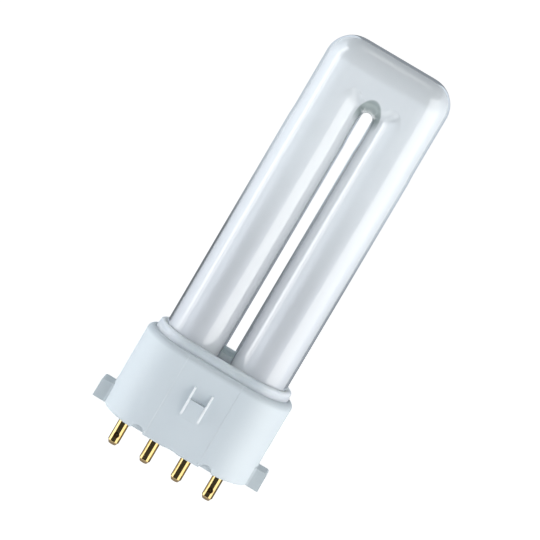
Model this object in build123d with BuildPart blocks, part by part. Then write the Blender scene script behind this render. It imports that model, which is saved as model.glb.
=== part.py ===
from build123d import *
import os

# Four-pin plug-in fluorescent lamp. Millimetres, +Z from the cap towards the tip of the glass, X along the
# row of pins, the front towards -Y. The origin is the middle of the cap's foot, where the lamp seats.

# Glass tube
lamp_length = 85.9
tube_diameter = 12.2
limb_gap = 2.0
press_step = 0.1
press_length = 20.0
press_blend = 2.5
bridge_height = 11.9
bridge_corner_radius = 5.4
seal_inset = 1.5
seal_thickness = 2.6
seal_length = 2.0
seal_taper = 2.6

# Cap housing
cap_depth = 19.0
housing_height = 18.15
floor_thickness = 2.0
lower_wall = 1.8
rim_wall = 1.35
shoulder_radius = 1.1
foot_radius = 0.5
panel_width = 11.8
panel_relief = 0.06

# Side lugs
lug_reach = 2.42
lug_depth = 5.1
lug_bottom = 0.3
lug_height = 4.0
lug_draft = 0.05
lug_round = 0.45

# Snap latch on each wide face: a ramp between two cheeks, with a catch step above the ramp
latch_bottom = 6.9
ramp_height = 4.0
ramp_rise = 1.0
latch_pocket_height = 2.5
latch_width = 3.35
cheek_thickness = 0.4
cheek_rise = 1.3
cheek_end_rise = 0.5

# Relief arches in the foot: two short ones in each wide face and a shallow one right across
side_arch_offset = 7.5
side_arch_width = 2.7
side_arch_depth = 1.3
side_arch_reach = 2.0
middle_arch_width = 3.4
middle_arch_depth = 0.25

# Tube collar
collar_rise = 1.85
collar_clearance = 0.08
bead_width = 1.4
bead_round = 0.6
plate_recess = 1.3
plate_thickness = 1.5
tube_clearance = 0.15
cement_gap = 0.5
socket_wall = 0.85
core_diameter = 3.2
core_offset = 5.6

# Contact pins
pin_count = 4
pin_pitch = 7.0
pin_diameter = 2.3
pin_length = 6.55
pin_bore = 1.1
pin_tip_diameter = 1.6
pin_tip_length = 0.65
pin_fit = 0.03
shank_diameter = 2.8
flange_diameter = 3.8
flange_thickness = 0.6
boss_diameter = 4.8
boss_height = 2.2
crimp_from_tip = 2.1
crimp_mouth = 1.2
crimp_floor = 0.5
crimp_depth = 0.5

# Lead wires
wire_diameter = 0.6
wire_spacing = 4.2
wire_room = 2.6
wire_straight = 0.5
wire_bend_radius = 0.8
wire_end_inset = 0.4
crimp_clearance = 0.02

# Widths and radii worked out from the sizes above
tube_radius = tube_diameter / 2
tube_spacing = tube_diameter + limb_gap
press_radius = tube_radius - press_step
slot_radius = tube_spacing / 2 - press_radius
seal_width = tube_diameter - 2 * seal_inset
collar_width = tube_spacing + tube_diameter + 2 * (cement_gap + socket_wall)
cap_width = collar_width + 2 * (collar_clearance + rim_wall)
collar_depth = cap_depth - 2 * (collar_clearance + rim_wall)
limb_x = [-tube_spacing / 2, tube_spacing / 2]
pin_x = [(place - (pin_count - 1) / 2) * pin_pitch for place in range(pin_count)]

# Levels, from the floor of the cap up to the glass
boss_top = floor_thickness + boss_height
flange_top = boss_top + flange_thickness
seal_bottom = flange_top + wire_room
seal_top = seal_bottom + seal_length
collar_seat = seal_top + seal_taper
collar_top = housing_height + collar_rise
plate_top = collar_top - plate_recess
plate_bottom = plate_top - plate_thickness
latch_step = latch_bottom + ramp_height
latch_top = latch_step + latch_pocket_height
press_bottom = lamp_length - press_length
slot_centre = lamp_length - bridge_height - slot_radius


# Radius of the arc that spans a width and rises by a depth
def arc_radius(width, depth):
    return (width**2 / 4 + depth**2) / (2 * depth)


side_arch_x = [-side_arch_offset, side_arch_offset]
side_arch_radius = arc_radius(side_arch_width, side_arch_depth)
middle_arch_radius = arc_radius(middle_arch_width, middle_arch_depth)

os.makedirs("parts", exist_ok=True)

# Discharge tube: a pressed bridge with rounded edges, a saddle round the end of the slot, two drawn limbs,
# slightly wider below the press line, and a flat pinched seal on each end
with BuildPart() as discharge_tube:
    with BuildSketch(Plane.XY.offset(slot_centre)):
        SlotOverall(tube_spacing + 2 * press_radius, 2 * press_radius)
    extrude(amount=lamp_length - slot_centre)
    fillet(discharge_tube.faces().sort_by(Axis.Z)[-1].edges(), radius=bridge_corner_radius)
    with BuildSketch(Plane.XZ):
        with Locations((0, slot_centre)):
            Circle(tube_spacing / 2)
    extrude(amount=tube_diameter, both=True, mode=Mode.SUBTRACT)
    with BuildSketch(Plane.XY.offset(slot_centre)):
        with BuildLine():
            chord = Line((tube_spacing / 2, -press_radius), (tube_spacing / 2, press_radius))
            ThreePointArc(chord @ 1, (slot_radius, 0), chord @ 0)
        make_face()
    revolve(axis=Axis((0, 0, slot_centre), (0, -1, 0)), revolution_arc=180)
    for x in limb_x:
        with BuildSketch(Plane.XZ):
            Polygon(
                (x, collar_seat),
                (x + tube_radius, collar_seat),
                (x + tube_radius, press_bottom),
                (x + press_radius, press_bottom + press_blend),
                (x + press_radius, slot_centre),
                (x, slot_centre),
                align=None,
            )
        revolve(axis=Axis((x, 0, 0), (0, 0, 1)))
    for x in limb_x:
        with BuildSketch(Plane((x, 0, collar_seat))):
            Circle(tube_radius)
        with BuildSketch(Plane((x, 0, seal_top))):
            Ellipse(seal_width / 2, seal_thickness / 2)
        loft(ruled=True)
        with BuildSketch(Plane((x, 0, seal_bottom))):
            Ellipse(seal_width / 2, seal_thickness / 2)
        extrude(amount=seal_length)
discharge_tube.part.label = "discharge_tube"
export_step(discharge_tube.part, "parts/discharge_tube.step")

# Cap housing: a moulded cup with lugs, latches, relief arches, a ledge for the collar and bosses for the pins
with BuildPart() as cap_housing:
    with BuildSketch():
        SlotOverall(cap_width, cap_depth)
    extrude(amount=housing_height)
    fillet(cap_housing.faces().sort_by(Axis.Z)[-1].edges(), radius=shoulder_radius)
    fillet(cap_housing.faces().sort_by(Axis.Z)[0].edges(), radius=foot_radius)
    with BuildSketch():
        with Locations((0, -cap_depth / 2), (0, cap_depth / 2)):
            Rectangle(panel_width, 2 * panel_relief)
    extrude(amount=housing_height, mode=Mode.SUBTRACT)
    for side in (-1, 1):
        with BuildSketch(Plane.XZ) as lug:
            with BuildLine():
                Polyline(
                    (0, lug_bottom),
                    (side * (cap_width / 2 + lug_reach), lug_bottom),
                    (side * (cap_width / 2 + lug_reach - lug_draft), lug_bottom + lug_height),
                    (0, lug_bottom + lug_height),
                    close=True,
                )
            make_face()
            fillet(lug.vertices().sort_by(Axis.X)[::side][-2:].sort_by(Axis.Y)[-1], radius=lug_round)
        extrude(amount=lug_depth / 2, both=True)
    for side in (-1, 1):
        face_y = side * (cap_depth / 2 - panel_relief)
        with BuildSketch(Plane.YZ.offset(-latch_width / 2)):
            Polygon(
                (0, latch_bottom),
                (face_y, latch_bottom),
                (face_y + side * ramp_rise, latch_step),
                (0, latch_step),
                align=None,
            )
        extrude(amount=latch_width)
        for cheek_x in (-latch_width / 2 - cheek_thickness, latch_width / 2):
            with BuildSketch(Plane.YZ.offset(cheek_x)):
                Polygon(
                    (0, latch_bottom),
                    (face_y, latch_bottom),
                    (face_y + side * cheek_rise, latch_step),
                    (face_y + side * cheek_end_rise, latch_top),
                    (0, latch_top),
                    align=None,
                )
            extrude(amount=cheek_thickness)
    with BuildSketch(Plane.XY.offset(floor_thickness)):
        SlotOverall(cap_width - 2 * lower_wall, cap_depth - 2 * lower_wall)
    extrude(amount=housing_height, mode=Mode.SUBTRACT)
    with BuildSketch(Plane.XY.offset(collar_seat)):
        SlotOverall(cap_width - 2 * rim_wall, cap_depth - 2 * rim_wall)
    extrude(amount=housing_height, mode=Mode.SUBTRACT)
    with BuildSketch():
        with Locations([(x, 0) for x in pin_x]):
            Circle(boss_diameter / 2)
    extrude(amount=boss_top)
    for face_offset in (cap_depth / 2 - side_arch_reach, -cap_depth / 2):
        with BuildSketch(Plane.XZ.offset(face_offset)):
            with Locations([(x, side_arch_depth - side_arch_radius) for x in side_arch_x]):
                Circle(side_arch_radius)
        extrude(amount=side_arch_reach, mode=Mode.SUBTRACT)
    with BuildSketch(Plane.XZ):
        with Locations((0, middle_arch_depth - middle_arch_radius)):
            Circle(middle_arch_radius)
    extrude(amount=cap_depth, both=True, mode=Mode.SUBTRACT)
    with BuildSketch():
        with Locations([(x, 0) for x in pin_x]):
            Circle(shank_diameter / 2 + pin_fit)
    extrude(amount=boss_top, mode=Mode.SUBTRACT)
cap_housing.part.label = "cap_housing"
export_step(cap_housing.part, "parts/cap_housing.step")

# Tube collar: a plug pressed into the cup, with a rounded bead, a sunk plate and two sockets from below
with BuildPart() as tube_collar:
    with BuildSketch(Plane.XY.offset(collar_seat)):
        SlotOverall(collar_width, collar_depth)
    extrude(amount=collar_top - collar_seat)
    with BuildSketch(Plane.XY.offset(plate_top)):
        SlotOverall(collar_width - 2 * bead_width, collar_depth - 2 * bead_width)
    extrude(amount=plate_recess, mode=Mode.SUBTRACT)
    fillet(tube_collar.faces().sort_by(Axis.Z)[-1].edges(), radius=bead_round)
    with BuildSketch(Plane.XY.offset(collar_seat)):
        with Locations([(x, 0) for x in limb_x]):
            Circle(tube_radius + cement_gap)
        with Locations((0, -core_offset), (0, core_offset)):
            Circle(core_diameter / 2)
    extrude(amount=plate_bottom - collar_seat, mode=Mode.SUBTRACT)
    with BuildSketch(Plane.XY.offset(collar_seat)):
        with Locations([(x, 0) for x in limb_x]):
            Circle(tube_radius + tube_clearance)
    extrude(amount=collar_top - collar_seat, mode=Mode.SUBTRACT)
tube_collar.part.label = "tube_collar"
export_step(tube_collar.part, "parts/tube_collar.step")

# Cement: a ring round each limb, filling its socket up to the plate
for number, x in enumerate(limb_x, 1):
    with BuildPart() as cement_ring:
        with BuildSketch(Plane((x, 0, collar_seat))):
            Circle(tube_radius + cement_gap)
            Circle(tube_radius, mode=Mode.SUBTRACT)
        extrude(amount=plate_bottom - collar_seat)
    cement_ring.part.label = f"cement_ring_{number}"
    export_step(cement_ring.part, f"parts/cement_ring_{number}.step")

# Contact pins: hollow pins with a flange and a thicker shank inside the cap, a tapered tip, and a crimp
# punched onto the wire. The outer pins are crimped from the front and the inner pins from the back.
crimp_z = crimp_from_tip - pin_length
for number, x in enumerate(pin_x, 1):
    outer_pin = number in (1, len(pin_x))
    crimp_side = -1 if outer_pin else 1
    with BuildPart() as contact_pin:
        with BuildSketch(Plane.XZ):
            with BuildLine():
                Polyline(
                    (x + pin_bore / 2, flange_top),
                    (x + flange_diameter / 2, flange_top),
                    (x + flange_diameter / 2, boss_top),
                    (x + shank_diameter / 2, boss_top),
                    (x + shank_diameter / 2, 0),
                    (x + pin_diameter / 2, 0),
                    (x + pin_diameter / 2, pin_tip_length - pin_length),
                    (x + pin_tip_diameter / 2, -pin_length),
                    (x + pin_bore / 2, -pin_length),
                    close=True,
                )
            make_face()
        revolve(axis=Axis((x, 0, 0), (0, 0, 1)))
        with BuildSketch(Plane((x, crimp_side * (wire_diameter / 2 + crimp_clearance), crimp_z),
                               x_dir=(1, 0, 0), z_dir=(0, crimp_side, 0))):
            Circle(crimp_mouth / 2)
        extrude(amount=(pin_bore - wire_diameter) / 2)
        with BuildSketch(Plane((x, crimp_side * pin_diameter / 2, crimp_z),
                               x_dir=(1, 0, 0), z_dir=(0, crimp_side, 0))):
            Circle(crimp_mouth / 2)
        with BuildSketch(Plane((x, crimp_side * (pin_diameter / 2 - crimp_depth), crimp_z),
                               x_dir=(1, 0, 0), z_dir=(0, crimp_side, 0))):
            Circle(crimp_floor / 2)
        loft(ruled=True, mode=Mode.SUBTRACT)
    contact_pin.part.label = f"contact_pin_{number}"
    export_step(contact_pin.part, f"parts/contact_pin_{number}.step")

# Lead wires: from a seal, sideways to the pin's bore and down it, ending just inside the tip
for number, x in enumerate(pin_x, 1):
    limb = limb_x[0] if x < 0 else limb_x[1]
    wire_x = limb + wire_spacing / 2 if x > limb else limb - wire_spacing / 2
    with BuildPart() as lead_wire:
        with BuildLine(Plane.XZ) as route:
            FilletPolyline(
                (wire_x, seal_bottom),
                (wire_x, seal_bottom - wire_straight),
                (x, flange_top + wire_straight),
                (x, wire_end_inset - pin_length),
                radius=wire_bend_radius,
            )
        with BuildSketch(Plane((wire_x, 0, seal_bottom))):
            Circle(wire_diameter / 2)
        sweep(path=route.wires()[0])
    lead_wire.part.label = f"lead_wire_{number}"
    export_step(lead_wire.part, f"parts/lead_wire_{number}.step")
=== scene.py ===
import bpy
import numpy as np
from mathutils import Matrix, Vector


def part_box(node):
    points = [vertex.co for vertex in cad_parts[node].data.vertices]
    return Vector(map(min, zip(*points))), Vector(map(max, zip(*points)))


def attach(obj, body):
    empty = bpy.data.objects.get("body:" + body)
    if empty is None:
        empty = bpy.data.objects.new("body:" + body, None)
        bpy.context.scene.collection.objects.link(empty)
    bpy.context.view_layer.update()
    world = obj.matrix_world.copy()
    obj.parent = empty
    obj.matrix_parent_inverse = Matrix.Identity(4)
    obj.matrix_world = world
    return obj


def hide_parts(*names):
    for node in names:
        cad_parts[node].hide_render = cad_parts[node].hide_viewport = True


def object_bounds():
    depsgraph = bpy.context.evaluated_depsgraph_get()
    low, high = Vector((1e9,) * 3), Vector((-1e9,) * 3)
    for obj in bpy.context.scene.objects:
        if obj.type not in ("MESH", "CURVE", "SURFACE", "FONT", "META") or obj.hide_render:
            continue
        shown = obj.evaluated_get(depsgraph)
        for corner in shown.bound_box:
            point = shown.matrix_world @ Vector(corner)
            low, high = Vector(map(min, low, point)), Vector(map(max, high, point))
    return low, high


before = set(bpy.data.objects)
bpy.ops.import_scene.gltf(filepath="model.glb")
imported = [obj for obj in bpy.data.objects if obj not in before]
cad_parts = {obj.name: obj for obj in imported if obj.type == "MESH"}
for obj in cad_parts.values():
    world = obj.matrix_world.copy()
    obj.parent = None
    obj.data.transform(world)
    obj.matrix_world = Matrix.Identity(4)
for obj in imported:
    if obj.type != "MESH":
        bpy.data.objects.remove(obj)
cad_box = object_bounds()

# Discharge tube: one glass tube bent and pressed into two limbs and a squared bridge, pinched flat at both
# ends round the lead wires. White powder lines the inside, so the glass looks white but shines as clear
# glass does. The powder lies thin where the bend is tightest, and painted shade greys it towards the foot.
mm = 0.001
tube_low, tube_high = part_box("discharge_tube")
tube_radius = (tube_high.y - tube_low.y) / 2
limb_x = tube_high.x - tube_radius
press_step = 0.1 * mm
press_length = 20.0 * mm
press_blend = 2.5 * mm
press_radius = tube_radius - press_step
press_bottom = tube_high.z - press_length
press_top = press_bottom + press_blend
bridge_height = 11.9 * mm
bridge_corner_radius = 5.4 * mm
slot_radius = limb_x - press_radius
slot_centre = tube_high.z - bridge_height - slot_radius
seal_width = 9.2 * mm
seal_thickness = 2.6 * mm
seal_length = 2.0 * mm
seal_taper = 2.6 * mm
seal_top = tube_low.z + seal_length
limb_bottom = seal_top + seal_taper
web_height = 3.4 * mm
web_blend = 2.6 * mm
web_start, web_full = np.radians([8, 68])
reach_limit = 3 * limb_x
halving_count = 40
round_count = 192
limb_count, press_count, neck_count, bend_count = 60, 16, 10, 200
powder_white = (0.715, 0.74, 0.755, 1)
powder_shade = (0.675, 0.705, 0.72, 1)
# painted shade: the powder's colour towards the foot, darker where less light reaches the limbs
powder_foot_painted_shade = (0.585, 0.60, 0.625, 1)
powder_thin = (0.31, 0.36, 0.35, 1)
foot_shade_bottom, foot_shade_top = 15 * mm, 75 * mm
thin_squeeze = 1.75
thin_reach, thin_edge = 4.1 * mm, 0.5 * mm
thin_bottom, thin_full = slot_centre - 2.0 * mm, slot_centre + 1.6 * mm
wall_white = (0.86, 0.885, 0.90, 1)
wall_thin = (0.24, 0.29, 0.28, 1)
wall_start, wall_full = 0.55, 0.70


def smooth_step(share):
    """0 at 0 and below, 1 at 1 and above, and a smooth rise between."""
    share = np.clip(share, 0, 1)
    return share * share * (3 - 2 * share)


def bend_reach(rise, turn):
    """Distance from the bend's centre line to the glass, for rays in fan planes through the end of the slot.

    Inside are points of the bridge, a slab with round ends and rounded edges, that lie no further forward or
    back than the limbs, which run straight up into it, or than the web that closes the slot. The web is thin
    at the slot and grows like an ellipse away from it, and it fades to nothing at the two sides of the slot.
    Each ray is halved again and again between a point inside and one outside.
    """
    inner = press_radius - bridge_corner_radius
    near = np.zeros(np.broadcast(rise, turn).shape)
    far = limb_x / np.maximum(-np.cos(turn), limb_x / reach_limit) + near
    fade = smooth_step((np.minimum(rise, np.pi - rise) - web_start) / (web_full - web_start))
    for _ in range(halving_count):
        reach = (near + far) / 2
        span = limb_x + reach * np.cos(turn)
        x, y = np.abs(span * np.cos(rise)), np.abs(reach * np.sin(turn))
        z = slot_centre + span * np.sin(rise)
        side = np.maximum(np.hypot(np.maximum(x - limb_x, 0), y) - inner, 0)
        above = np.maximum(z - (tube_high.z - bridge_corner_radius), 0)
        off = np.maximum(limb_x - x, 0) / press_radius
        limb = press_radius * (np.sqrt(np.maximum(1 - off * off, 0)) - np.maximum(off - 1, 0))
        from_slot = np.maximum(span - slot_radius, 0)
        web = fade * press_radius * np.sqrt(1 - np.maximum(1 - from_slot / web_height, 0) ** 2)
        front = (limb + web + np.hypot(limb - web, np.sqrt(fade) * web_blend)) / 2
        inside = (np.hypot(side, above) < bridge_corner_radius) & (y < front) & (span > slot_radius)
        near, far = np.where(inside, reach, near), np.where(inside, far, reach)
    return near


def tube_surface():
    """Rings round the tube from one seal, up a limb, over the bend and down the other limb to its seal.

    On a limb each ring is a circle that narrows at the press line, or an ellipse at a seal. In the bend each
    ring lies in a fan plane through the end of the slot and follows the bend's reach.
    """
    turn = np.linspace(0, 2 * np.pi, round_count, endpoint=False)
    level = np.concatenate([
        [tube_low.z, seal_top, limb_bottom],
        np.linspace(limb_bottom, press_bottom, limb_count)[1:],
        np.linspace(press_bottom, press_top, press_count)[1:],
        np.linspace(press_top, slot_centre, neck_count)[1:-1],
    ])
    width = tube_radius - press_step * smooth_step((level - press_bottom) / press_blend)
    depth = width.copy()
    width[:2], depth[:2] = seal_width / 2, seal_thickness / 2
    limb = np.stack([
        limb_x + width[:, None] * np.cos(turn),
        depth[:, None] * np.sin(turn),
        np.repeat(level[:, None], round_count, 1),
    ], -1)
    rise = np.linspace(0, np.pi, bend_count)[:, None]
    reach = bend_reach(rise, turn)
    span = limb_x + reach * np.cos(turn)
    bend = np.stack([span * np.cos(rise), reach * np.sin(turn), slot_centre + span * np.sin(rise)], -1)
    return np.concatenate([limb, bend, limb[::-1] * (-1, 1, 1)])


def closed_tube(name, grid):
    """A smooth mesh from rings of points, closed round each ring, with a flat face over each end."""
    rings, columns = grid.shape[:2]
    corner = np.arange(rings * columns).reshape(rings, columns)
    after = np.roll(corner, -1, 1)
    sides = np.stack([corner[:-1], after[:-1], after[1:], corner[1:]], -1).reshape(-1, 4)
    mesh = bpy.data.meshes.new(name)
    mesh.from_pydata(grid.reshape(-1, 3).tolist(), [],
                     sides.tolist() + [corner[0, ::-1].tolist(), corner[-1].tolist()])
    mesh.polygons.foreach_set("use_smooth", np.arange(len(mesh.polygons)) < len(sides))
    mesh.update()
    piece = bpy.data.objects.new(name, mesh)
    bpy.context.collection.objects.link(piece)
    return piece


class Shade:
    """A socket in a material's nodes, so that shader maths reads as an expression."""

    def __init__(self, material, socket):
        self.material, self.socket = material, socket

    def node(self, kind, settings=None, output=0, **inputs):
        """Any node: its settings first, then its inputs, by name with _ for a space or by _ and a number."""
        tree = self.material.node_tree
        made = tree.nodes.new(kind)
        for key, value in (settings or {}).items():
            setattr(made, key, value)
        for key, value in inputs.items():
            place = made.inputs[int(key[1:]) if key[1:].isdigit() else key.replace("_", " ")]
            if isinstance(value, Shade):
                tree.links.new(value.socket, place)
            else:
                place.default_value = value
        return Shade(self.material, made.outputs[output])

    def math(self, operation, first, second):
        """The Math node for one operation on two numbers."""
        return self.node("ShaderNodeMath", {"operation": operation}, _0=first, _1=second)

    def __add__(self, other):
        return self.math("ADD", self, other)

    def __radd__(self, other):
        return self.math("ADD", other, self)

    def __sub__(self, other):
        return self.math("SUBTRACT", self, other)

    def __rsub__(self, other):
        return self.math("SUBTRACT", other, self)

    def __mul__(self, other):
        return self.math("MULTIPLY", self, other)

    def __rmul__(self, other):
        return self.math("MULTIPLY", other, self)

    def size(self):
        """This number without its sign."""
        return self.math("ABSOLUTE", self, 0)

    def scaled(self, x, y, z):
        """This vector, stretched along each axis."""
        return self.node("ShaderNodeVectorMath", {"operation": "MULTIPLY"}, _0=self, _1=(x, y, z))

    def axis(self, number):
        """One number of this vector."""
        return self.node("ShaderNodeSeparateXYZ", output=number, Vector=self)

    def between(self, low, high):
        """0 below low, 1 above high and a smooth step between."""
        return self.node("ShaderNodeMapRange", {"interpolation_type": "SMOOTHSTEP"},
                         Value=self, From_Min=low, From_Max=high)

    def band(self, start, low, high, end):
        """0 up to start, 1 from low to high, 0 from end on, and smooth steps between."""
        return self.between(start, low) * (1 - self.between(high, end))

    def mix(self, first, second):
        """From the first colour where this is 0 to the second where it is 1."""
        return self.node("ShaderNodeMix", {"data_type": "RGBA"}, 2, _0=self, _6=first, _7=second)


def new_finish(name, **constants):
    """A Principled material with its constants set: the material, its Object coordinates and its shader."""
    material = bpy.data.materials.new(name)
    material.use_nodes = True
    shader = material.node_tree.nodes["Principled BSDF"]
    for key, value in constants.items():
        shader.inputs[key.replace("_", " ")].default_value = value
    place = material.node_tree.nodes.new("ShaderNodeTexCoord")
    return material, Shade(material, place.outputs["Object"]), shader


def feed(shader, **links):
    """Links what changes over the surface to the shader's sockets."""
    for key, value in links.items():
        value.material.node_tree.links.new(value.socket, shader.inputs[key.replace("_", " ")])


coated_glass, place, shader = new_finish("coated_glass", Roughness=0.55, Specular_IOR_Level=0.25,
                                         Coat_Weight=1.0, Coat_Roughness=0.0, Coat_IOR=1.8)
z = place.axis(2)
drain = place.node("ShaderNodeTexNoise", Vector=place.scaled(1, 1, 0.12), Scale=420, Detail=2)
cloud = place.node("ShaderNodeTexNoise", Vector=place, Scale=150, Detail=3)
powder = (drain * cloud * 1.6).mix(powder_white, powder_shade)
# Painted shade: the powder turns greyer towards the foot, where less light reaches it
powder = (1 - z.between(foot_shade_bottom, foot_shade_top)).mix(powder, powder_foot_painted_shade)
from_slot = place.node("ShaderNodeVectorMath", {"operation": "DISTANCE"}, 1,
                       _0=place.scaled(thin_squeeze, 0, 1), _1=(0, 0, slot_centre))
thin = (1 - from_slot.between(thin_reach, thin_reach + thin_edge)) * z.between(thin_bottom, thin_full)
feed(shader, Base_Color=thin.mix(powder, powder_thin))

# At a glancing angle the wall of the glass mirrors what is behind it instead of showing the powder
facing = place.node("ShaderNodeLayerWeight", output=1)
nodes, links = coated_glass.node_tree.nodes, coated_glass.node_tree.links
wall = nodes.new("ShaderNodeBsdfPrincipled")
wall.inputs["Metallic"].default_value = 1.0
wall.inputs["Roughness"].default_value = 0.03
feed(wall, Base_Color=thin.mix(wall_white, wall_thin))
both = nodes.new("ShaderNodeMixShader")
links.new((facing.between(wall_start, wall_full) * (1 - thin)).socket, both.inputs[0])
links.new(shader.outputs[0], both.inputs[1])
links.new(wall.outputs[0], both.inputs[2])
links.new(both.outputs[0], nodes["Material Output"].inputs[0])

glass_tube = closed_tube("glass_tube", tube_surface())
glass_tube.data.materials.append(coated_glass)
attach(glass_tube, "root")
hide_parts("discharge_tube")

# Lead wires: two bare nickel-plated wires from each seal, each led sideways and down into a pin. They are
# the CAD's own wires, with drawing marks along their length.
wire_dark = (0.52, 0.50, 0.47, 1)
wire_light = (0.66, 0.64, 0.61, 1)
lead_wire, place, shader = new_finish("lead_wire", Metallic=1.0)
draw_marks = place.node("ShaderNodeTexNoise", Vector=place.scaled(1, 1, 0.05), Scale=9000, Detail=2)
feed(shader, Base_Color=draw_marks.mix(wire_dark, wire_light), Roughness=0.28 + 0.2 * draw_marks)
for number in range(1, 5):
    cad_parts[f"lead_wire_{number}"].data.materials[0] = lead_wire

# Contact pins: hollow brass pins, drawn and turned, riveted in the foot of the cap and punched once onto the
# wire inside. Their thin gold-coloured flash is worn brown at the tips and dark round the punch marks on the
# front of the two outer pins.
gold_bright = (0.84, 0.62, 0.27, 1)
gold_deep = (0.72, 0.50, 0.20, 1)
tip_brown = (0.24, 0.175, 0.10, 1)
punch_brown = (0.17, 0.12, 0.07, 1)
tip_worn, tip_clean = -6.1 * mm, -5.8 * mm
outer_pin_x, punch_z = 10.5 * mm, -4.45 * mm
punch_floor, punch_mouth, punch_edge = 0.28 * mm, 0.50 * mm, 0.18 * mm
punch_side = -0.5 * mm
pin_metal, place, shader = new_finish("pin_metal", Metallic=1.0)
x, y, z = place.axis(0), place.axis(1), place.axis(2)
scuff = place.node("ShaderNodeTexNoise", Vector=place.scaled(1, 1, 0.25), Scale=2600, Detail=3)
stain = place.node("ShaderNodeTexNoise", Vector=place, Scale=700, Detail=2)
worn = 1 - z.between(tip_worn, tip_clean)
aside, above = x.size() - outer_pin_x, z - punch_z
off_punch = aside * aside + above * above
punched = off_punch.between((punch_floor - punch_edge) ** 2, punch_floor ** 2)
punched = punched * (1 - off_punch.between(punch_mouth ** 2, (punch_mouth + punch_edge) ** 2))
punched = punched * (1 - y.between(punch_side, 0))
gold = worn.mix((stain * 0.6).mix(gold_bright, gold_deep), tip_brown)
feed(shader, Base_Color=punched.mix(gold, punch_brown), Roughness=0.03 + 0.03 * scuff + 0.15 * worn)
for number in range(1, 5):
    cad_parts[f"contact_pin_{number}"].data.materials[0] = pin_metal

# Cap housing: a cup moulded in bluish white plastic, with lugs, two snap latches and arches in its foot. It
# is the CAD's own cup, with fine grain and slightly rounded edges. Painted light makes its ends, arches,
# latch cheeks and the edges of its front panel paler, and painted shade makes its lugs and shoulder greyer.
cup_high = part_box("cap_housing")[1]
cup_front = (0.60, 0.65, 0.68, 1)
cup_ends_painted_light = (0.70, 0.745, 0.765, 1)
lug_painted_shade = (0.55, 0.60, 0.62, 1)
arch_painted_light = (0.75, 0.79, 0.81, 1)
shoulder_painted_shade = (0.52, 0.565, 0.59, 1)
line_painted_highlight = (0.86, 0.89, 0.91, 1)
cheek_painted_highlight = (0.90, 0.92, 0.93, 1)
ends_start, ends_full = 8 * mm, 14 * mm
lug_root, lug_full = cup_high.x - 2.5 * mm, cup_high.x - 2.1 * mm
shoulder_start, shoulder_full = cup_high.z - 1.5 * mm, cup_high.z - 0.6 * mm
arch_across = (6.0 * mm, 6.1 * mm, 8.9 * mm, 9.0 * mm)
arch_depth = (7.3 * mm, 7.4 * mm, 9.0 * mm, 9.3 * mm)
arch_height = (0.02 * mm, 0.1 * mm, 1.3 * mm, 1.4 * mm)
line_across = (5.7 * mm, 5.85 * mm, 5.95 * mm, 6.1 * mm)
line_back, line_front = 9.0 * mm, 9.2 * mm
line_clear, line_faint = 8 * mm, 11 * mm
line_strength, line_loss = 0.28, 0.16
cheek_across = (1.5 * mm, 1.65 * mm, 2.1 * mm, 2.25 * mm)
cheek_root, cheek_rim = 9.5 * mm, 9.7 * mm
latch_height = (6.7 * mm, 7.1 * mm, 13.2 * mm, 13.5 * mm)
cup_rounding, cup_grain = 0.16 * mm, 0.10


def moulded_skin(place, rounding, strength):
    """Grain, flow marks and the bumpy normal of moulded plastic whose edges look slightly rounded."""
    grain = place.node("ShaderNodeTexNoise", Vector=place, Scale=2400, Detail=4)
    flow = place.node("ShaderNodeTexNoise", Vector=place.scaled(1, 1, 0.4), Scale=190, Detail=2)
    edge = place.node("ShaderNodeBevel", {"samples": 8}, Radius=rounding)
    bump = place.node("ShaderNodeBump", Strength=strength, Distance=0.02 * mm, Height=grain, Normal=edge)
    return grain, flow, bump


cap_plastic, place, shader = new_finish("cap_plastic", Specular_IOR_Level=0.5)
aside, forward, z = place.axis(0).size(), place.axis(1).size(), place.axis(2)
grain, flow, bump = moulded_skin(place, cup_rounding, cup_grain)
ends = aside.between(ends_start, ends_full)
lug = aside.between(lug_root, lug_full)
arch = aside.band(*arch_across) * forward.band(*arch_depth) * z.band(*arch_height)
shoulder = z.between(shoulder_start, shoulder_full)
line = aside.band(*line_across) * forward.between(line_back, line_front)
line = line * (line_strength - line_loss * z.between(line_clear, line_faint))
cheek = aside.band(*cheek_across) * forward.between(cheek_root, cheek_rim) * z.band(*latch_height)
# Painted light: the ends of the cup, which face the side lights, are painted paler than its front
plastic = (0.4 * flow + 0.6 * ends).mix(cup_front, cup_ends_painted_light)
# Painted shade: the lugs, which the cup shades from one side, are painted greyer
plastic = lug.mix(plastic, lug_painted_shade)
# Painted light: the arches in the foot are painted paler, in place of their lit rims
plastic = arch.mix(plastic, arch_painted_light)
# Painted shade: the rounded shoulder, which faces up to dim light, is painted greyer
plastic = shoulder.mix(plastic, shoulder_painted_shade)
# Painted highlight: a pale line at each edge of the front panel beside the latch, fading upwards
plastic = line.mix(plastic, line_painted_highlight)
# Painted highlight: the latch cheeks are painted paler, as their edges catch the light
feed(shader, Base_Color=cheek.mix(plastic, cheek_painted_highlight), Roughness=0.42 + 0.14 * grain, Normal=bump)
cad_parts["cap_housing"].data.materials[0] = cap_plastic

# Cement: a ring of grey-white cement in each socket of the collar, put in wet round the limb and baked hard.
# It is the CAD's own ring, matt, gritty and finely pitted.
cement_dark = (0.56, 0.57, 0.53, 1)
cement_light = (0.72, 0.73, 0.69, 1)
cement, place, shader = new_finish("cement", Specular_IOR_Level=0.3)
grit = place.node("ShaderNodeTexNoise", Vector=place, Scale=3000, Detail=5)
pits = place.node("ShaderNodeTexVoronoi", Vector=place, Scale=1500)
rough = place.node("ShaderNodeBump", Strength=0.4, Distance=0.05 * mm, Height=grit * pits)
feed(shader, Base_Color=grit.mix(cement_dark, cement_light), Roughness=0.8 + 0.15 * grit, Normal=rough)
for number in (1, 2):
    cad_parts[f"cement_ring_{number}"].data.materials[0] = cement
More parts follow.
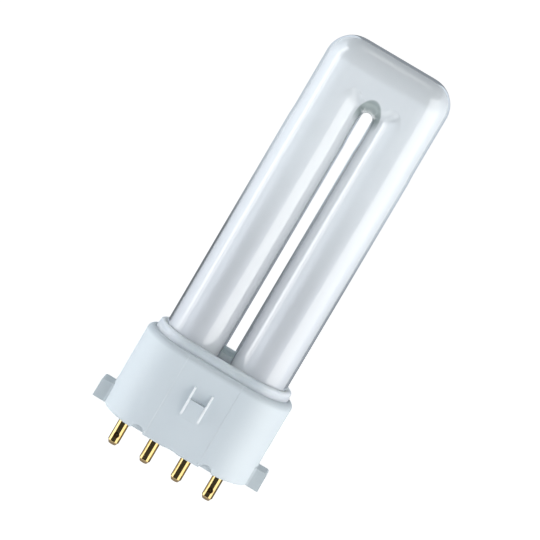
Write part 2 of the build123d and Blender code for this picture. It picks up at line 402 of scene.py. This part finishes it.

# Tube collar: the moulded cover pressed into the cup, with a rounded bead round a sunk plate. The plastic is
# the cup's, a little glossier, and lets some light through. Painted shade makes the bead's top greyer, and
# painted light makes the collar's ends paler and the sunk plate, shaded between the limbs, a light pale
# green.
collar_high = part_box("tube_collar")[1]
collar_front = (0.62, 0.67, 0.70, 1)
collar_ends_painted_light = (0.76, 0.80, 0.82, 1)
bead_painted_shade = (0.50, 0.545, 0.57, 1)
plate_painted_light = (0.82, 0.90, 0.82, 1)
pale_start, pale_full = 8 * mm, 12 * mm
grey_full, grey_end = 7 * mm, 11 * mm
bead_start, bead_full = collar_high.z - 1.5 * mm, collar_high.z - 0.2 * mm
bead_width, bead_edge = 1.2 * mm, 0.6 * mm
plate_full, plate_end = collar_high.z - 1.25 * mm, collar_high.z - 0.5 * mm
collar_rounding, collar_grain = 0.12 * mm, 0.08
collar_plastic, place, shader = new_finish("collar_plastic", Specular_IOR_Level=0.5, Subsurface_Weight=1.0,
                                           Subsurface_Scale=4 * mm, Subsurface_Radius=(1.0, 1.0, 0.9))
aside, y, z = place.axis(0).size(), place.axis(1), place.axis(2)
grain, flow, bump = moulded_skin(place, collar_rounding, collar_grain)
blotch = place.node("ShaderNodeTexNoise", Vector=place, Scale=500, Detail=2)
# Painted light: the collar's ends, which face the side lights, are painted paler than its front
collar_tone = (0.3 * flow + 0.7 * aside.between(pale_start, pale_full)).mix(collar_front, collar_ends_painted_light)
# Painted shade: the top of the bead, facing up to dim light, is painted greyer, less so at its ends
bead = z.between(bead_start, bead_full) * (1 - 0.6 * aside.between(grey_full, grey_end))
collar_tone = bead.mix(collar_tone, bead_painted_shade)
plate_radius = collar_high.y - bead_width
beyond = aside.math("MAXIMUM", aside - (collar_high.x - collar_high.y), 0)
plate = 1 - (beyond * beyond + y * y).between((plate_radius - bead_edge) ** 2, plate_radius ** 2)
# Painted light: the sunk plate, in shade between the limbs, is painted a light pale green
plate_lightening = plate * (1 - z.between(plate_full, plate_end)) * (0.55 + 0.4 * blotch)
feed(shader, Base_Color=plate_lightening.mix(collar_tone, plate_painted_light), Roughness=0.34 + 0.14 * grain, Normal=bump)
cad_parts["tube_collar"].data.materials[0] = collar_plastic

# Floor: one sheet of white paper, so far below the lamp that the soft shadow falls outside the picture. To
# the camera, and in all that mirrors it, the paper glows as the white ground, less so right below the lamp.
floor_drop = 120 * mm
floor_half = 4000 * mm
paper_white = (0.8, 0.8, 0.8, 1)
ground_near, ground_far = 0.45, 0.95
near_radius, far_radius = 150 * mm, 450 * mm


def seen_ground(owner):
    """1 for rays from the camera, off a gloss or through glass, which see the white ground, or else 0."""
    rays = owner.node_tree.nodes.new("ShaderNodeLightPath")
    from_camera = Shade(owner, rays.outputs["Is Camera Ray"])
    off_gloss = Shade(owner, rays.outputs["Is Glossy Ray"])
    through_glass = Shade(owner, rays.outputs["Is Transmission Ray"])
    return from_camera + off_gloss + through_glass


floor = bpy.data.objects.new("floor", bpy.data.meshes.new("floor"))
floor.data.from_pydata([(-floor_half, -floor_half, 0), (floor_half, -floor_half, 0),
                        (floor_half, floor_half, 0), (-floor_half, floor_half, 0)], [], [(0, 1, 2, 3)])
floor.location.z = cad_box[0].z - floor_drop
bpy.context.collection.objects.link(floor)
paper, place, shader = new_finish("paper", Base_Color=paper_white, Roughness=0.9, Emission_Strength=1.0)
apart = place.node("ShaderNodeVectorMath", {"operation": "LENGTH"}, 1, _0=place)
ground_glow = ground_near + (ground_far - ground_near) * apart.between(near_radius, far_radius)
feed(shader, Emission_Color=seen_ground(paper) * ground_glow)
floor.data.materials.append(paper)

# Light: a round tent of white cloth about the lamp, lit from outside and unseen by the camera. Its sides
# glow, most of all in a wide window on the right and two panes on the left. Its front is dim, with a dark
# foot, and its crown and the strip behind the lamp are dim too, which draws the dark edges of the glass.
tent_radius = 450 * mm
tent_columns = 1801
crown_glow = 0.2
window_white = np.array([0.99, 1.0, 1.0])
shade_blue = np.array([0.92, 1.0, 1.09])
shade_glow, window_glow = 2, 3
# Heights of the bottom and the top of each tier: foot, lower middle, upper middle, top and crown
tent_levels = np.array([floor.location.z / mm, -72, -55, -30, 5, 30, 200, 500, 510, 2500]) * mm
# Azimuth in degrees, 0 at the camera and growing to the right, and the glow of each tier below the crown
tent_glow = np.array([
    # the back and the left side, brighter towards the panes
    (-180, 0.4, 0.4, 0.3, 0.3), (-168.2, 0.4, 0.4, 0.3, 0.3),
    (-168, 0.2, 0.2, 0.65, 0.8), (-118, 0.2, 0.2, 0.65, 0.8),
    (-117.8, 0.6, 0.6, 0.8, 0.8), (-100, 1.7, 1.7, 1.7, 1.7), (-79.2, 2.7, 2.7, 2.7, 2.7),
    # the two left panes, with a bar between them
    (-79, 2.0, 4.8, 4.8, 4.2), (-67.5, 2.0, 4.8, 4.8, 4.2),
    (-67.3, 0.9, 1.8, 1.8, 1.3), (-64.2, 0.9, 1.8, 1.8, 1.3),
    (-64, 2.0, 4.0, 4.0, 1.8), (-58, 2.0, 4.0, 4.0, 1.8),
    # the front, darkest before the camera
    (-57.8, 0.06, 1.7, 1.7, 0.2), (-44, 0.06, 2.0, 1.9, 0.2), (-36, 0.06, 1.8, 1.7, 0.2),
    (-28, 0.06, 0.8, 1.3, 0.2), (-14, 0.06, 0.0, 1.1, 0.2), (8, 0.06, 0.0, 1.2, 0.2),
    (20, 0.06, 0.6, 1.3, 0.2), (30, 0.06, 1.3, 1.4, 0.2), (36.8, 0.06, 1.4, 1.5, 0.2),
    # the window on the right
    (37, 1.7, 3.4, 3.3, 2.2), (87, 1.7, 3.4, 3.3, 2.2),
    # the right side and the back
    (87.2, 0.1, 2.2, 2.2, 1.4), (100, 0.1, 1.6, 1.6, 1.2), (118, 0.1, 0.6, 0.7, 0.8),
    (118.2, 0.3, 0.35, 0.65, 0.8), (168, 0.3, 0.35, 0.65, 0.8),
    (168.2, 0.4, 0.4, 0.3, 0.3), (180, 0.4, 0.4, 0.3, 0.3),
])
azimuth = np.linspace(-180, 180, tent_columns)
tiers = [np.interp(azimuth, tent_glow[:, 0], tier) for tier in tent_glow[:, 1:].T]
tiers.append(np.full(len(azimuth), crown_glow))
glow = np.repeat(tiers, 2, 0)
window = np.clip((tiers[1] - shade_glow) / (window_glow - shade_glow), 0, 1)[:, None]
colour = glow[:, :, None] * (shade_blue + (window_white - shade_blue) * window)
ring = tent_radius * np.stack([np.sin(np.radians(azimuth)), -np.cos(np.radians(azimuth))], -1)
points = np.concatenate([np.c_[ring, np.full(len(ring), level)] for level in tent_levels])
corner = np.arange(len(points)).reshape(len(tent_levels), -1)
cloth = bpy.data.meshes.new("tent")
cloth.from_pydata(points.tolist(), [], np.stack(
    [corner[:-1, :-1], corner[:-1, 1:], corner[1:, 1:], corner[1:, :-1]], -1).reshape(-1, 4).tolist())
cloth.attributes.new("glow", "FLOAT_COLOR", "POINT").data.foreach_set(
    "color", np.concatenate([colour, np.ones_like(colour[..., :1])], -1).ravel())
lit_cloth = bpy.data.materials.new("lit_cloth")
lit_cloth.use_nodes = True
nodes, links = lit_cloth.node_tree.nodes, lit_cloth.node_tree.links
nodes.clear()
lit = nodes.new("ShaderNodeEmission")
source = nodes.new("ShaderNodeAttribute")
source.attribute_name = "glow"
links.new(source.outputs["Color"], lit.inputs["Color"])
links.new(lit.outputs[0], nodes.new("ShaderNodeOutputMaterial").inputs[0])
cloth.materials.append(lit_cloth)
tent = bpy.data.objects.new("tent", cloth)
tent.visible_camera = False
bpy.context.collection.objects.link(tent)

# World: the white ground beyond the floor, as the camera sees it and as glossy surfaces mirror it. For all
# other rays it is only a faint bluish fill.
fill_blue = (0.88, 0.96, 1.0, 1)
fill_strength = 0.1
world = bpy.data.worlds.new("studio")
bpy.context.scene.world = world
world.use_nodes = True
nodes, links = world.node_tree.nodes, world.node_tree.links
fill = nodes["Background"]
fill.inputs["Color"].default_value = fill_blue
fill.inputs["Strength"].default_value = fill_strength
white = nodes.new("ShaderNodeBackground")
white.inputs["Color"].default_value = (1, 1, 1, 1)
white.inputs["Strength"].default_value = 1.0
both = nodes.new("ShaderNodeMixShader")
links.new(seen_ground(world).socket, both.inputs[0])
links.new(fill.outputs[0], both.inputs[1])
links.new(white.outputs[0], both.inputs[2])
links.new(both.outputs[0], nodes["World Output"].inputs[0])

# Camera: in front of the lamp and a little above it, aimed at its middle and rolled so that the lamp leans
# to the right. Its distance is chosen, and its lens gives the lamp its size in the picture.
camera_azimuth, camera_elevation, camera_roll = np.radians([0.674, 9.169, 30.513])
camera_distance = 700 * mm
focal_pixels, image_pixels = 3663.4, 540
aim = Vector((-1.173 * mm, 0, 38.38 * mm))
camera = bpy.data.objects.new("camera", bpy.data.cameras.new("camera"))
camera.data.sensor_width = 36
camera.data.lens = focal_pixels / image_pixels * camera.data.sensor_width
back = Vector((np.sin(camera_azimuth) * np.cos(camera_elevation),
               -np.cos(camera_azimuth) * np.cos(camera_elevation), np.sin(camera_elevation)))
level_right = Vector((np.cos(camera_azimuth), np.sin(camera_azimuth), 0))
level_up = back.cross(level_right)
right = level_right * np.cos(camera_roll) + level_up * np.sin(camera_roll)
up = level_up * np.cos(camera_roll) - level_right * np.sin(camera_roll)
camera.matrix_world = Matrix((
    (right.x, up.x, back.x, 0), (right.y, up.y, back.y, 0), (right.z, up.z, back.z, 0), (0, 0, 0, 1)))
camera.location = aim + back * camera_distance
bpy.context.collection.objects.link(camera)
bpy.context.scene.camera = camera
bpy.context.scene.view_settings.view_transform = "Standard"
